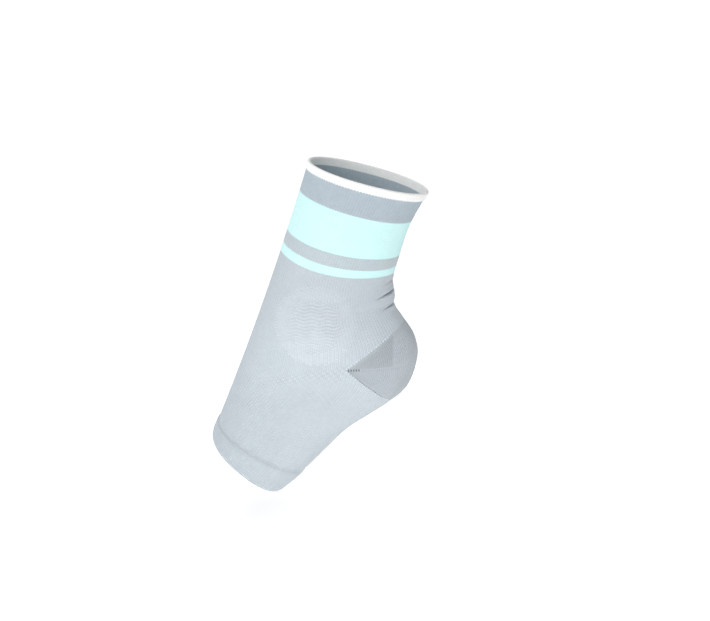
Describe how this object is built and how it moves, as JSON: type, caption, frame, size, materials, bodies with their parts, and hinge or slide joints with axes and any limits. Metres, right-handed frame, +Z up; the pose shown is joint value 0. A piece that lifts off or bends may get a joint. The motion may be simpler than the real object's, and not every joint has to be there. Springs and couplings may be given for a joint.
{
  "type": "ankle support",
  "caption": "Knitted compression ankle sleeve in its worn form: open toe, welt and colour bands at the leg, turned heel pocket, round ribbed ankle zones and a doubled foot hem.",
  "frame": {"origin": "centre of the ankle joint inside the sleeve, on the line between the centres of the two round ankle zones", "axes": "+Z up as worn with the heel raised, -X towards the toes and +X towards the heel, -Y towards the outer side of the foot and +Y towards the inner side"},
  "size_m": [0.1469, 0.0841, 0.2269],
  "materials": {
    "white_yarn": "soft white knitted welt",
    "grey_yarn": "matt cool grey rib knit",
    "aqua_yarn": "matt pale aqua knit",
    "body_yarn": "matt light grey fine knit",
    "heel_yarn": "matt darker grey firm knit",
    "zone_yarn": "matt light grey relief knit"
  },
  "bodies": {
    "root": {"top_welt": "white_yarn", "cuff_band": "grey_yarn", "aqua_band": "aqua_yarn", "grey_ring": "grey_yarn", "aqua_stripe": "aqua_yarn", "sleeve_body": "body_yarn", "heel_pocket": "heel_yarn", "outer_ankle_zone": "zone_yarn", "inner_ankle_zone": "zone_yarn", "foot_hem": "body_yarn"}
  },
  "joints": []
}
